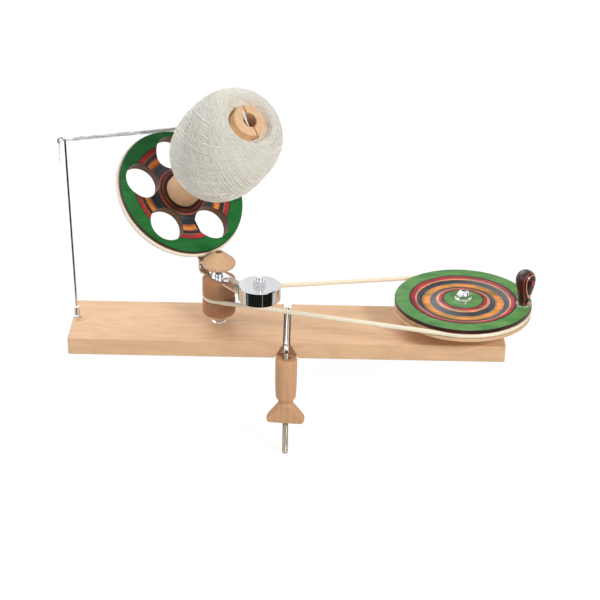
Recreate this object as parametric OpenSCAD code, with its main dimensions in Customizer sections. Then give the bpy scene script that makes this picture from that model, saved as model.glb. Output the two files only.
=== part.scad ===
// Wooden yarn ball winder with a table clamp: a cranked wheel drives a belt, the belt turns the
// upright pulley and its arm, and the tilted head on the arm rolls round a fixed cone.
// Origin: middle of the board's underside. +X runs to the crank wheel, +Y away from the clamp.

/* [Board] */
// Length of the board
board_l = 420; // [400:5:480]
// Width of the board
board_w = 82; // [76:1:110]
// Thickness of the board
board_t = 17; // [15:0.5:24]
// Radius of the board's four upright corners
board_corner = 3; // [1:0.5:8]
// Width of the small bevel round the board's faces
board_arris = 0.8; // [0.3:0.1:1.5]

/* [Spindle, pulley and cone] */
// Distance of the spindle from the board's left end
spindle_inset = 143.3; // [135:0.5:155]
// Diameter of the spindle bolt and of the arm's other bolts
bolt_d = 6; // [5:0.5:7]
// Radius of the pulley
pulley_r = 16; // [15:0.5:20]
// Height of the pulley
pulley_h = 37.6; // [34:0.2:46]
// Gap between the board and the pulley
pulley_lift = 10.4; // [9.5:0.1:14]
// Radius of the belt's centre line on the pulley
pulley_belt_r = 13.9; // [13:0.1:15]
// Height of the belt's groove above the pulley's foot
pulley_belt_rise = 18.1; // [15:0.1:21]
// Largest radius of the fixed cone
cone_r = 16.3; // [15.5:0.1:18]
// Slope of the cone's upper face
cone_slope = 40; // [35:1:44]
// Radius of the cone's rounded edge
cone_edge = 4; // [3:0.25:4.5]
// Radius of the cone's small flat top
cone_top_r = 4.5; // [4.3:0.1:6]
// Height of the cone's underside above the arm
cone_rise = 9.7; // [9:0.1:12]
// Radius at which the head's ring runs on the cone
contact_r = 14.7; // [13:0.1:14.8]

/* [Arm and counterweight] */
// Direction of the counterweight, seen from above
arm_angle = -49.5; // [-60:0.5:-35]
// Width of the steel strip
arm_w = 16; // [14:0.5:18]
// Thickness of the steel strip
arm_t = 2; // [1.5:0.1:3]
// Distance of the strip's upright part from the spindle
arm_riser = 21; // [19.5:0.1:24]
// Distance of the counterweight from the spindle
weight_arm = 62.5; // [55:0.5:75]
// Radius of the counterweight
weight_r = 20; // [16:0.5:24]
// Height of the counterweight
weight_h = 14.5; // [10:0.5:20]

/* [Winding head] */
// Tilt of the head's axle from upright
head_tilt = 45; // [43:0.5:47]
// Radius of the head's disc
head_r = 65; // [60:0.5:70]
// Thickness of the head's coloured front layer
head_face_t = 3.8; // [3.5:0.1:5]
// Thickness of the head's plain wood back
head_back_t = 7.7; // [7.4:0.1:9]
// Radius of the friction ring's cord
ring_r = 2.4; // [2:0.1:2.6]
// Radius of the friction ring's centre line
ring_centre_r = 64.4; // [64:0.1:66]
// Radius of the five round openings
window_r = 17.5; // [14:0.5:18.5]
// Distance of the openings from the head's axle
window_pitch_r = 41.5; // [38:0.5:43]
// Length of the winding core
core_l = 148; // [120:1:165]
// Radius of the core at the disc
core_base_r = 16.5; // [15:0.25:18]
// Radius of the core at its tip
core_tip_r = 15.6; // [14:0.1:16]
// Radius of the bore through the core
core_bore_r = 7; // [6.6:0.1:8]
// Depth of the yarn slit in the core's tip
slit_depth = 32; // [20:1:45]
// Width of the yarn slit
slit_w = 1.6; // [1.5:0.1:2.5]

/* [Yarn ball] */
// Distance of the ball's middle from the disc
ball_at = 96.8; // [90:0.2:100]
// Largest radius of the ball
ball_r = 46.5; // [40:0.5:50]
// Half length of the ball
ball_half = 56.8; // [50:0.2:58]
// Radius of the wound strand
strand_r = 0.8; // [0.6:0.05:0.9]
// Height of the crossing strands over the lower ones
strand_step = 3.4; // [3.2:0.1:4]

/* [Crank wheel and belt] */
// Distance of the wheel's axle from the board's right end
wheel_inset = 39.8; // [25:0.2:50]
// Radius of the wheel
wheel_r = 66.3; // [60:0.5:70]
// Thickness of the wheel's coloured top layer
wheel_face_t = 3.8; // [3.5:0.1:5]
// Thickness of the wheel's plain wood under layer
wheel_back_t = 8.7; // [8.4:0.1:10]
// Gap between the board and the wheel
wheel_lift = 17.4; // [15:0.2:18]
// Depth of the turned hollow in the wheel's top
dish_depth = 3.2; // [1:0.1:3.3]
// Diameter of the wheel's axle bolt
axle_d = 8; // [7:0.5:8]
// Radius of the belt
belt_r = 2.2; // [1.8:0.1:2.2]
// Distance of the knob from the wheel's axle
knob_at = 58.4; // [56:0.2:58.6]
// Direction of the knob from the wheel's axle
knob_angle = -8; // [-40:1:40]
// Height of the knob
knob_h = 38; // [32:0.5:46]
// Largest radius of the knob
knob_r = 9.5; // [8:0.25:11]
// Radius of the knob's foot
knob_foot_r = 6.7; // [6:0.1:7.5]

/* [Yarn guide] */
// Distance of the guide's foot from the board's left end
guide_inset = 4; // [4:0.5:8]
// Distance of the guide's foot behind the board's middle line
guide_back = 6; // [6:0.5:6.5]
// Radius of the guide's wire
guide_wire_r = 1.1; // [0.9:0.05:1.2]
// Height of the guide's eye above the board
guide_h = 184; // [184:0.5:185]
// Outward lean of the guide's wire
guide_lean = 1.2; // [1.1:0.05:1.3]
// Radius of the wire's eye
guide_eye_r = 3.2; // [3.1:0.05:3.4]

/* [Table clamp] */
// Radius of the clamp rod's plain shank
rod_r = 2.65; // [2.4:0.05:2.8]
// Radius of the clamp rod's thread
rod_thread_r = 2.95; // [2.85:0.05:3]
// Reach of the rod below the board's underside
rod_reach = 104; // [98:1:120]
// Distance of the rod in front of the board
rod_stand_off = 3; // [3:0.25:5]
// Radius of the wooden jaw
jaw_r = 10.3; // [9:0.1:12]
// Length of the wooden jaw
jaw_l = 46.6; // [40:0.2:50]
// Width across the wing nut's two wings
wing_span = 36; // [30:1:42]
// Height of the wing nut
wing_h = 21; // [18:0.5:24]
// Thickness of the wings
wing_t = 12; // [10:0.5:14]

/* [Clearances] */
// Running clearance round bolts and bores
run_gap = 0.05; // [0.02:0.01:0.1]
// Gap between faces that turn past each other
face_gap = 0.1; // [0.05:0.05:0.3]
// Gap between the belt and its grooves
belt_gap = 0.3; // [0.2:0.05:0.4]
// Gap between the head's ring and the cone
roll_gap = 0.25; // [0.2:0.05:0.4]
// Gap between the yarn ball and the core
ball_gap = 0.3; // [0.25:0.05:0.5]
// Gap between the jaw and the board
jaw_gap = 0.5; // [0.3:0.1:1]

/* [Hidden] */
$fn = 96;

// Colours
beech = "burlywood";
beech_dark = "tan";
veneer = "seagreen";
dark_veneer = "saddlebrown";
steel = "silver";
chrome = "gainsboro";
wool = "ivory";
cream = "cornsilk";

// Bolts, nuts, washers and bearings
bolt_r = bolt_d / 2;
nut_af = bolt_d + 4;
nut_h = 5;
head_h = 4;
washer_r = 6.2;
washer_t = 1;
thin_sleeve_r = bolt_r + 1;
bearing_r = bolt_r + 5.5;
bearing_t = 6;
axle_r = axle_d / 2;
axle_af = axle_d + 5;
axle_nut_h = 6.3;
axle_head_h = 5.3;
axle_washer_r = axle_r + 4.3;
axle_washer_t = 1.2;
axle_sleeve_r = axle_r + 1.5;
wheel_bearing_r = axle_r + 7;
wheel_bearing_t = 7;
sink_gap = 0.4;
hole_gap = 0.2;

// Spindle, from the board upwards
spindle_x = -board_l / 2 + spindle_inset;
sink_h = head_h + sink_gap;
spindle_nut_z = board_t + washer_t;
spindle_spacer_z = spindle_nut_z + nut_h;
pulley_z = board_t + pulley_lift;
pulley_top = pulley_z + pulley_h;
lower_bearing_z = pulley_z + 0.5;
upper_bearing_z = pulley_top - 0.5 - bearing_t;
sleeve_z = upper_bearing_z + bearing_t + face_gap;
arm_top = pulley_top + arm_t;
cone_z = arm_top + cone_rise;
jam_nut_z = cone_z - nut_h;
cone_edge_r = cone_r - cone_edge;
cone_edge_z = cone_z + cone_edge;
contact_z = cone_edge_z
    + (cone_edge + (cone_edge_r - contact_r) * sin(cone_slope)) / cos(cone_slope);
cone_top = contact_z + (contact_r - cone_top_r) * tan(cone_slope);
cone_recess = 1.6;
spindle_top = cone_top - 0.6;

// Belt, level with the pulley's groove and the wheel's groove
wheel_x = board_l / 2 - wheel_inset;
wheel_z = board_t + wheel_lift;
wheel_mid = wheel_z + wheel_back_t;
wheel_top = wheel_mid + wheel_face_t;
groove_r = belt_r + belt_gap;
wheel_belt_r = wheel_r - belt_r + 0.5;
wheel_belt_z = wheel_mid - groove_r;
pulley_belt_z = pulley_z + pulley_belt_rise;
belt_span = wheel_x - spindle_x;
belt_lean = asin((wheel_belt_r - pulley_belt_r) / belt_span);
belt_sides = 10;

// Wheel's axle, from the board upwards
axle_sink_h = axle_head_h + sink_gap;
axle_nut_z = board_t + axle_washer_t;
axle_spacer_z = axle_nut_z + axle_nut_h;
wheel_bearing_z = wheel_z + 1;
axle_sleeve_z = wheel_bearing_z + wheel_bearing_t + face_gap;
top_washer_z = wheel_top + 0.3;
cap_nut_z = top_washer_z + axle_washer_t;
cap_nut_h = 4.4;
cap_dome_h = 3;
hub_hole_r = axle_sleeve_r + 1;
dish_in = 19;
knob_head_r = 4.6;
knob_head_h = 2.2;
knob_washer_t = 1;
knob_z = wheel_top + knob_washer_t + face_gap;
knob_bore_l = 26;
dish_out = wheel_r * 0.79;

// Head: the ring's centre line lies on the cone, and the disc follows from the ring
ring_depth = 6.8;
ring_lowest_rho = -contact_r - (ring_r + roll_gap) * sin(cone_slope);
ring_lowest_z = contact_z + (ring_r + roll_gap) * cos(cone_slope);
face_rho = ring_lowest_rho - ring_centre_r * cos(head_tilt) + ring_depth * sin(head_tilt);
face_z = ring_lowest_z + ring_centre_r * sin(head_tilt) + ring_depth * cos(head_tilt);
head_t = head_face_t + head_back_t;
ring_groove_r = ring_r + 0.1;
head_bearing_w = -head_t + 0.3;
head_bearing_r = bearing_r + 1;
head_spacer_l = 3.6;
plate_w = head_bearing_w - face_gap - head_spacer_l;
axle_nut_w = head_bearing_w + bearing_t + face_gap;
window_turn = 22;
windows = 5;

// Arm: one strip with two bends, drawn along its middle line
bend_r = 4;
strip_z = pulley_top + arm_t / 2;
plate_mid_w = plate_w - arm_t / 2;
plate_end = [face_rho + plate_mid_w * sin(head_tilt), face_z + plate_mid_w * cos(head_tilt)];
plate_line = plate_end * [sin(head_tilt), cos(head_tilt)];
bend_rho = -arm_riser - bend_r;
bend_z = (plate_line - bend_r - bend_rho * sin(head_tilt)) / cos(head_tilt);
screw_at = 11.6;
screw_r = 1.5;
screw_l = 8;

// Yarn ball and its winding
dimple_l = core_l - 7;
ball_shape = 2.7;
winding_loops = 14;
winding_rings = 24;
winding_drift = 3 / winding_loops;
winding_reach = ball_half * 0.78;
winding_r = ball_r - strand_r;
winding_inset = strand_step + strand_r * 2 + 0.4;

// Yarn from the ball to the guide, and its hanging end, as they lie
yarn_r = 0.6;
lead_points = [[-76, 44, 204], [-206, 9, 201]];
lead_rings = 34;
tail_points = [
    [-206, 9, 201], [-208.6, 8.3, 200.94], [-210.2, 8.1, 201], [-212.2, 7, 201],
    [-213.3, 5.4, 200.7], [-214, 4, 199.9], [-214.5, 3.6, 198], [-214.8, 3.4, 195],
    [-215, 3.2, 191], [-215, 3, 187], [-215, 3, 183], [-215, 3, 180]];

// Guide and clamp
guide_x = -board_l / 2 + guide_inset;
guide_sink = 12;
guide_gap_angle = 250;
rod_y = -board_w / 2 - rod_stand_off;
rod_bend = 5;
rod_z = board_t - rod_r - 0.2;
rod_back_y = board_w / 2 - 3.5;
rod_hook = 10;
rod_groove_w = 7;
rod_thread_z = 8;
jaw_z = -jaw_gap;
wing_z = jaw_z - jaw_l - 0.2;
wing_neck_r = 7.6;
wing_insert_r = rod_thread_r + 2;
wing_insert_l = 14;

// Helpers: points along an arc and along a smooth curve
function arc(c, r, a0, a1, n) =
    [for (i = [0:n]) let(a = a0 + (a1 - a0) * i / n) c + r * [cos(a), sin(a)]];
function curve(a, b, c, d, n) =
    [for (i = [0:n]) let(t = i / n, s = 1 - t)
        s * s * s * a + 3 * s * s * t * b + 3 * s * t * t * c + t * t * t * d];
function unit(v) = v / norm(v);

// A tube of round section along a list of points: open with flat ends, or closed in a loop
function heading(p, i, closed) =
    let(n = len(p))
    closed ? unit(p[(i + 1) % n] - p[(i + n - 1) % n])
           : unit(p[min(i + 1, n - 1)] - p[max(i - 1, 0)]);
function ring_at(p, i, r, sides, side_way, closed) =
    let(t = heading(p, i, closed), u = unit(cross(t, side_way[i])), v = cross(t, u))
    [for (k = [0:sides - 1]) let(a = 360 * k / sides) p[i] + r * (cos(a) * u + sin(a) * v)];
module sweep_tube(p, r, sides, side_way, closed = false) {
    n = len(p);
    points = [for (i = [0:n - 1]) each ring_at(p, i, r, sides, side_way, closed)];
    bands = closed ? n : n - 1;
    walls = [for (i = [0:bands - 1]) for (k = [0:sides - 1])
        let(a = i * sides + k, b = i * sides + (k + 1) % sides,
            j = (i + 1) % n, c = j * sides + k, d = j * sides + (k + 1) % sides)
        each [[a, b, d], [a, d, c]]];
    ends = closed ? [] : [
        [for (k = [sides - 1:-1:0]) k],
        [for (k = [0:sides - 1]) (n - 1) * sides + k]];
    polyhedron(points = points, faces = concat(walls, ends), convexity = 10);
}
function same(v, n) = [for (i = [1:n]) v];

// Common hardware
module tube(r_out, r_in, h) {
    difference() {
        cylinder(r = r_out, h = h);
        translate([0, 0, -1]) cylinder(r = r_in, h = h + 2);
    }
}
module hexagon(af, h) {
    cylinder(r = af / 2 / cos(30), h = h, $fn = 6);
}
module hex_nut(af, r_in, h) {
    difference() {
        intersection() {
            hexagon(af, h);
            rotate_extrude() polygon([
                [0, 0], [af / 2, 0], [af * 0.58, af * 0.05], [af * 0.58, h - af * 0.05],
                [af / 2, h], [0, h]]);
        }
        translate([0, 0, -1]) cylinder(r = r_in, h = h + 2);
    }
}
module hex_bolt(af, r, head, length) {
    translate([0, 0, -head]) hexagon(af, head);
    cylinder(r = r, h = length);
}

// Places: the spindle, the turned arm, the tilted head and the wheel
module at_spindle() {
    translate([spindle_x, 0, 0]) children();
}
module on_arm() {
    at_spindle() rotate([0, 0, arm_angle]) children();
}
module on_head() {
    on_arm() translate([face_rho, 0, face_z]) rotate([0, head_tilt, 0]) children();
}
module at_wheel() {
    translate([wheel_x, 0, 0]) children();
}
module at_knob() {
    at_wheel() rotate([0, 0, knob_angle]) translate([knob_at, 0, 0]) children();
}
module at_rod() {
    translate([0, rod_y, 0]) children();
}

// Board
function rounded_box(l, w, r) = concat(
    arc([l / 2 - r, w / 2 - r], r, 0, 90, 6), arc([-l / 2 + r, w / 2 - r], r, 90, 180, 6),
    arc([-l / 2 + r, -w / 2 + r], r, 180, 270, 6), arc([l / 2 - r, -w / 2 + r], r, 270, 360, 6));
function bevelled(w, h, c) = [
    [-w / 2 + c, 0], [w / 2 - c, 0], [w / 2, c], [w / 2, h - c],
    [w / 2 - c, h], [-w / 2 + c, h], [-w / 2, h - c], [-w / 2, c]];
module board_blank() {
    intersection() {
        linear_extrude(board_t) polygon(rounded_box(board_l, board_w, board_corner));
        translate([board_l / 2, 0, 0]) rotate([90, 0, -90])
            linear_extrude(board_l) polygon(bevelled(board_w, board_t, board_arris));
        translate([0, board_w / 2, 0]) rotate([90, 0, 0])
            linear_extrude(board_w) polygon(bevelled(board_l, board_t, board_arris));
    }
}
module sunk_hole(r, head_r, depth) {
    translate([0, 0, -1]) cylinder(r = r, h = board_t + 2);
    translate([0, 0, -1]) cylinder(r = head_r, h = depth + 1);
}
module base_board() {
    color(beech) difference() {
        board_blank();
        at_spindle() sunk_hole(bolt_r + hole_gap, nut_af * 0.62, sink_h);
        at_wheel() sunk_hole(axle_r + hole_gap, axle_af * 0.62, axle_sink_h);
        translate([guide_x, guide_back, board_t - guide_sink])
            cylinder(r = guide_wire_r + 1.2, h = guide_sink + 1);
        translate([-rod_groove_w / 2, -board_w, rod_z - rod_groove_w / 2 + 0.4])
            cube([rod_groove_w, board_w * 2, board_t]);
        translate([0, rod_back_y, rod_z - rod_hook - 1]) cylinder(r = rod_groove_w / 2, h = board_t);
        at_rod() translate([0, 0, -0.01])
            cylinder(r1 = jaw_r + rod_stand_off - 0.8, r2 = rod_stand_off + 0.5, h = board_t + 0.1);
    }
}

// Spindle group
module spindle_bolt() {
    color(steel) at_spindle() translate([0, 0, sink_h])
        hex_bolt(nut_af, bolt_r, head_h, spindle_top - sink_h);
}
module spindle_washer() {
    color(steel) at_spindle() translate([0, 0, board_t]) tube(washer_r, bolt_r + run_gap, washer_t);
}
module spindle_nut() {
    color(steel) at_spindle() translate([0, 0, spindle_nut_z])
        hex_nut(nut_af, bolt_r + run_gap, nut_h);
}
module spindle_spacer() {
    color(steel) at_spindle() translate([0, 0, spindle_spacer_z])
        tube(thin_sleeve_r, bolt_r + run_gap, lower_bearing_z - face_gap - spindle_spacer_z);
}
module spindle_sleeve() {
    color(chrome) at_spindle() translate([0, 0, sleeve_z])
        tube(thin_sleeve_r, bolt_r + run_gap, jam_nut_z - sleeve_z);
}
module cone_jam_nut() {
    color(chrome) at_spindle() translate([0, 0, jam_nut_z]) hex_nut(nut_af, bolt_r + run_gap, nut_h);
}
module friction_cone() {
    side = arc([cone_edge_r, cone_edge_z], cone_edge, -90, 90 - cone_slope, 16);
    color(beech) at_spindle() difference() {
        rotate_extrude() polygon(concat([[0, cone_z]], side, [[cone_top_r, cone_top], [0, cone_top]]));
        translate([0, 0, cone_z - 1]) cylinder(r = bolt_r + run_gap, h = cone_top);
        translate([0, 0, cone_top - cone_recess]) cylinder(r = bolt_r + 0.6, h = cone_recess + 1);
    }
}

// Wheel's axle group
module wheel_axle() {
    color(steel) at_wheel() translate([0, 0, axle_sink_h])
        hex_bolt(axle_af, axle_r, axle_head_h, cap_nut_z + cap_nut_h - 0.4 - axle_sink_h);
}
module axle_washer() {
    color(steel) at_wheel() translate([0, 0, board_t])
        tube(axle_washer_r, axle_r + run_gap, axle_washer_t);
}
module axle_nut() {
    color(steel) at_wheel() translate([0, 0, axle_nut_z])
        hex_nut(axle_af, axle_r + run_gap, axle_nut_h);
}
module axle_spacer() {
    color(steel) at_wheel() translate([0, 0, axle_spacer_z])
        tube(axle_sleeve_r, axle_r + run_gap, wheel_bearing_z - face_gap - axle_spacer_z);
}
module axle_sleeve() {
    color(steel) at_wheel() translate([0, 0, axle_sleeve_z])
        tube(axle_sleeve_r, axle_r + run_gap, top_washer_z - axle_sleeve_z);
}
module axle_top_washer() {
    color(chrome) at_wheel() translate([0, 0, top_washer_z])
        tube(axle_washer_r, axle_r + run_gap, axle_washer_t);
}
module axle_cap_nut() {
    dome_r = axle_af * 0.46;
    color(chrome) at_wheel() translate([0, 0, cap_nut_z]) difference() {
        union() {
            intersection() {
                hexagon(axle_af, cap_nut_h);
                rotate_extrude() polygon([
                    [0, 0], [axle_af / 2, 0], [axle_af * 0.58, 0.7],
                    [axle_af * 0.58, cap_nut_h - 0.7], [axle_af / 2, cap_nut_h], [0, cap_nut_h]]);
            }
            rotate_extrude() polygon(concat(
                [[0, cap_nut_h - 1], [dome_r, cap_nut_h - 1]],
                curve([dome_r, cap_nut_h - 0.3], [dome_r, cap_nut_h + cap_dome_h * 0.7],
                    [dome_r * 0.6, cap_nut_h + cap_dome_h], [0, cap_nut_h + cap_dome_h], 10)));
        }
        translate([0, 0, -1]) cylinder(r = axle_r + run_gap, h = cap_nut_h + 1);
    }
}

// Wheel and head share the same turned face: a shallow hollow between the boss and the rim
function dish(r, r_in, r_out) =
    r <= r_in || r >= r_out ? 0
        : dish_depth * (1 - cos(360 * (r - r_in) / (r_out - r_in))) / 2;
module turned_face(r, t, bore, r_in, r_out) {
    steps = 18;
    hollow = [for (i = [steps:-1:0]) let(x = r_in + (r_out - r_in) * i / steps)
        [x, t - dish(x, r_in, r_out)]];
    rotate_extrude() polygon(concat(
        [[bore, 0], [r - 0.3, 0], [r, 0.3], [r, t - 0.6], [r - 0.6, t]], hollow, [[bore, t]]));
}
module rope_groove(r_path, r_cord, r_rim) {
    rotate_extrude() union() {
        translate([r_path, 0]) circle(r = r_cord);
        translate([r_path, -r_cord]) square([r_rim - r_path + 5, r_cord * 2]);
    }
}
module wheel_face() {
    color(veneer) difference() {
        at_wheel() translate([0, 0, wheel_mid])
            turned_face(wheel_r, wheel_face_t, hub_hole_r, dish_in, dish_out);
        at_knob() cylinder(r = bolt_r, h = wheel_top + 1);
    }
}
module wheel_back() {
    color(beech) difference() {
        at_wheel() translate([0, 0, wheel_z]) rotate_extrude() polygon([
            [0, 0], [wheel_r - 0.8, 0], [wheel_r, 0.8], [wheel_r, wheel_back_t], [0, wheel_back_t]]);
        at_wheel() cylinder(r = hub_hole_r, h = wheel_top);
        at_wheel() translate([0, 0, wheel_z - 1])
            cylinder(r = wheel_bearing_r, h = wheel_bearing_z + wheel_bearing_t - wheel_z + 1);
        at_wheel() translate([0, 0, wheel_belt_z]) rope_groove(wheel_belt_r, groove_r, wheel_r);
        at_knob() cylinder(r = bolt_r, h = wheel_top);
        at_knob() translate([0, 0, wheel_z - 1]) cylinder(r = knob_head_r + 0.1, h = knob_head_h + 1);
    }
}
module wheel_bearing() {
    color(steel) at_wheel() translate([0, 0, wheel_bearing_z])
        bearing(wheel_bearing_r, axle_r + run_gap, wheel_bearing_t);
}
module bearing(r_out, r_in, h) {
    lip = 0.3;
    race = (r_out - r_in) * 0.27;
    rotate_extrude() polygon([
        [r_in, 0], [r_in + race, 0], [r_in + race, lip], [r_out - race, lip], [r_out - race, 0],
        [r_out, 0], [r_out, h], [r_out - race, h], [r_out - race, h - lip],
        [r_in + race, h - lip], [r_in + race, h], [r_in, h]]);
}

// Knob on its stud
module knob_stud() {
    color(steel) at_knob() {
        translate([0, 0, wheel_z]) cylinder(r = knob_head_r, h = knob_head_h);
        translate([0, 0, wheel_z]) cylinder(r = bolt_r, h = knob_z + knob_bore_l - 1 - wheel_z);
    }
}
module knob_washer() {
    color(chrome) at_knob() translate([0, 0, wheel_top])
        tube(knob_foot_r + 0.6, bolt_r, knob_washer_t);
}
module crank_knob() {
    belly = knob_h * 0.68;
    color(dark_veneer) at_knob() translate([0, 0, knob_z]) difference() {
        rotate_extrude() polygon(concat(
            [[0, 0], [knob_foot_r - 0.5, 0], [knob_foot_r, 0.6]],
            curve([knob_foot_r, 2], [knob_foot_r - 1, knob_h * 0.3],
                [knob_r, knob_h * 0.42], [knob_r, belly], 12),
            curve([knob_r, belly], [knob_r, knob_h * 0.88], [knob_r * 0.62, knob_h],
                [0, knob_h], 14)));
        translate([0, 0, -1]) cylinder(r = bolt_r + run_gap, h = knob_bore_l + 1);
    }
}

// Belt: round the pulley's left side, along the front, round the wheel and back
function belt_arc(x, r, z, a0, a1, n) = [for (i = [0:n])
    let(a = a0 + (a1 - a0) * i / n) [x + r * cos(a), r * sin(a), z]];
function belt_run(a, b, n) = [for (i = [1:n - 1]) a + (b - a) * i / n];
module drive_belt() {
    half_wrap = 90 + belt_lean;
    on_pulley = belt_arc(spindle_x, pulley_belt_r, pulley_belt_z, half_wrap, 360 - half_wrap, 10);
    on_wheel = belt_arc(wheel_x, wheel_belt_r, wheel_belt_z, -half_wrap, half_wrap, 24);
    loop = concat(
        on_pulley, belt_run(on_pulley[10], on_wheel[0], 20),
        on_wheel, belt_run(on_wheel[24], on_pulley[0], 20));
    color(cream) sweep_tube(loop, belt_r, belt_sides, same([0, 0, 1], len(loop)), true);
}

// Pulley and its two bearings
module pulley() {
    color(beech_dark) at_spindle() difference() {
        translate([0, 0, pulley_z]) rotate_extrude() polygon([
            [0, 0], [pulley_r - 2.5, 0], [pulley_r - 0.7, 0.9], [pulley_r, 2.6],
            [pulley_r, pulley_h - 0.8], [pulley_r - 0.8, pulley_h], [0, pulley_h]]);
        cylinder(r = thin_sleeve_r + 1, h = pulley_top + 1);
        translate([0, 0, pulley_z - 1])
            cylinder(r = bearing_r, h = lower_bearing_z + bearing_t - pulley_z + 1);
        translate([0, 0, upper_bearing_z]) cylinder(r = bearing_r, h = pulley_top);
        translate([0, 0, pulley_belt_z]) rope_groove(pulley_belt_r, groove_r, pulley_r);
        for (side = [0, 180]) rotate([0, 0, arm_angle + side])
            translate([screw_at, 0, pulley_top - screw_l]) cylinder(r = screw_r, h = screw_l + 1);
    }
}
module pulley_bearings() {
    color(steel) at_spindle() for (z = [lower_bearing_z, upper_bearing_z])
        translate([0, 0, z]) bearing(bearing_r, bolt_r + run_gap, bearing_t);
}

// Arm: the flat part under the counterweight, the riser and the plate behind the head
module arm_bracket() {
    outer = bend_r + arm_t / 2;
    inner = bend_r - arm_t / 2;
    along = [-cos(head_tilt), sin(head_tilt)];
    across = [sin(head_tilt), cos(head_tilt)];
    low = [bend_rho + 2 * bend_r, strip_z + bend_r];
    high = [bend_rho, bend_z];
    upper_edge = concat(
        [[weight_arm, strip_z + arm_t / 2]], arc(low, inner, 270, 180, 8),
        arc(high, outer, 0, 90 - head_tilt, 5), [plate_end + across * arm_t / 2]);
    lower_edge = concat(
        [plate_end - across * arm_t / 2], arc(high, inner, 90 - head_tilt, 0, 5),
        arc(low, outer, 180, 270, 8), [[weight_arm, strip_z - arm_t / 2]]);
    color(chrome) difference() {
        union() {
            on_arm() translate([0, arm_w / 2, 0]) rotate([90, 0, 0])
                linear_extrude(arm_w) polygon(concat(upper_edge, lower_edge));
            on_arm() translate([weight_arm, 0, pulley_top]) cylinder(r = arm_w / 2, h = arm_t);
            on_head() translate([0, 0, plate_w - arm_t]) cylinder(r = arm_w / 2, h = arm_t);
        }
        on_arm() translate([0, 0, pulley_top - 1]) cylinder(r = thin_sleeve_r + 0.6, h = arm_t + 2);
        on_arm() translate([weight_arm, 0, pulley_top - 1]) cylinder(r = bolt_r, h = arm_t + 2);
        for (side = [-1, 1]) on_arm()
            translate([side * screw_at, 0, pulley_top - 1]) cylinder(r = screw_r, h = arm_t + 2);
        on_head() translate([0, 0, plate_w - arm_t - 1]) cylinder(r = bolt_r, h = arm_t + 2);
    }
}
module arm_screws() {
    color(chrome) for (side = [-1, 1]) on_arm()
        translate([side * screw_at, 0, pulley_top - screw_l + 0.5]) {
            cylinder(r = screw_r, h = screw_l - 0.5 + arm_t);
            translate([0, 0, screw_l - 0.5 + arm_t]) rotate_extrude() polygon(concat(
                [[0, 0], [screw_r + 1.2, 0]],
                curve([screw_r + 1.2, 0.6], [screw_r + 1, 1.6], [screw_r, 2], [0, 2], 6)));
        }
}
module counterweight() {
    color(chrome) on_arm() translate([weight_arm, 0, arm_top]) rotate_extrude() polygon([
        [bolt_r, 0], [weight_r - 0.6, 0], [weight_r, 0.6], [weight_r, weight_h - 0.6],
        [weight_r - 0.6, weight_h], [bolt_r, weight_h]]);
}
module counterweight_bolt() {
    color(steel) on_arm() translate([weight_arm, 0, pulley_top])
        hex_bolt(nut_af, bolt_r, head_h, arm_t + weight_h + nut_h + 3);
}
module counterweight_nut() {
    color(chrome) on_arm() translate([weight_arm, 0, arm_top + weight_h])
        hex_nut(nut_af, bolt_r, nut_h);
}

// Head's axle, fixed to the arm's plate
module head_axle() {
    color(steel) on_head() translate([0, 0, plate_w - arm_t])
        hex_bolt(nut_af, bolt_r, head_h, axle_nut_w + nut_h + 2 - plate_w + arm_t);
}
module head_axle_spacer() {
    color(steel) on_head() translate([0, 0, plate_w])
        tube(thin_sleeve_r + 0.5, bolt_r, head_spacer_l);
}
module head_axle_nut() {
    color(steel) on_head() translate([0, 0, axle_nut_w]) hex_nut(nut_af, bolt_r, nut_h);
}

// Winding head
module head_windows() {
    for (i = [0:windows - 1]) rotate([0, 0, window_turn + 360 / windows * i])
        translate([window_pitch_r, 0, -head_t - 1]) cylinder(r = window_r, h = head_t + 2);
}
module head_face() {
    color(veneer) on_head() difference() {
        translate([0, 0, -head_face_t])
            turned_face(head_r, head_face_t, core_bore_r, dish_in, head_r * 0.79);
        head_windows();
    }
}
module head_back() {
    color(beech) on_head() difference() {
        translate([0, 0, -head_t]) rotate_extrude() polygon([
            [core_bore_r, 0], [head_r - 0.8, 0], [head_r, 0.8], [head_r, head_back_t],
            [core_bore_r, head_back_t]]);
        head_windows();
        translate([0, 0, -ring_depth]) rope_groove(ring_centre_r, ring_groove_r, head_r);
        translate([0, 0, -head_t - 1])
            cylinder(r = head_bearing_r, h = head_bearing_w + bearing_t + head_t + 1);
    }
}
module friction_ring() {
    color(cream) on_head() translate([0, 0, -ring_depth])
        rotate_extrude() translate([ring_centre_r, 0]) circle(r = ring_r);
}
module head_bearing() {
    color(steel) on_head() translate([0, 0, head_bearing_w])
        bearing(head_bearing_r, bolt_r + run_gap, bearing_t);
}
module winding_core() {
    color(beech) on_head() difference() {
        rotate_extrude() polygon(concat(
            [[core_bore_r, 0], [core_base_r, 0]],
            arc([core_tip_r - 2, core_l - 2], 2, 0, 90, 6),
            [[core_bore_r + 0.6, core_l], [core_bore_r, core_l - 0.6]]));
        translate([-core_base_r - 1, -slit_w / 2, core_l - slit_depth])
            cube([core_base_r * 2 + 2, slit_w, slit_depth + 1]);
    }
}

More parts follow.
